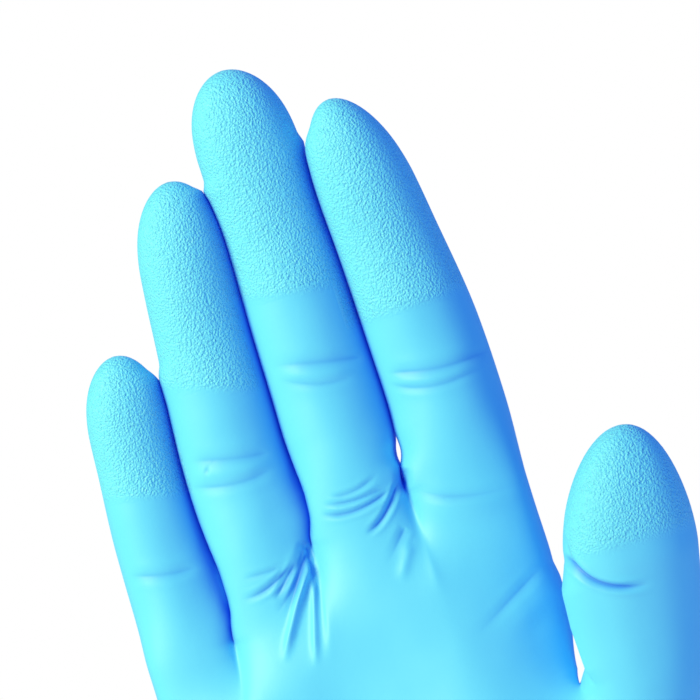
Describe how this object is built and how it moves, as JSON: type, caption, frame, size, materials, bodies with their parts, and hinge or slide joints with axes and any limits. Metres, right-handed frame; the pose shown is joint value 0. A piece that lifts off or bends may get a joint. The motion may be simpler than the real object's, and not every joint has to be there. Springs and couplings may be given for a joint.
{
  "type": "exam glove",
  "caption": "Thin dip-moulded exam glove in its worn form: close fingers, thumb apart, textured finger ends, plain palm and a cuff with a rolled rim, open at the wrist.",
  "frame": {"origin": "centre of the cuff's open end, in the plane of the rolled rim", "axes": "+Z along the fingers to the tips, -Y out of the palm, +X towards the thumb"},
  "size_m": [0.1049, 0.0526, 0.2403],
  "materials": {
    "nitrile": "soft matte film, fine raised grain on the finger ends"
  },
  "bodies": {
    "root": {"glove": "nitrile"}
  },
  "joints": []
}
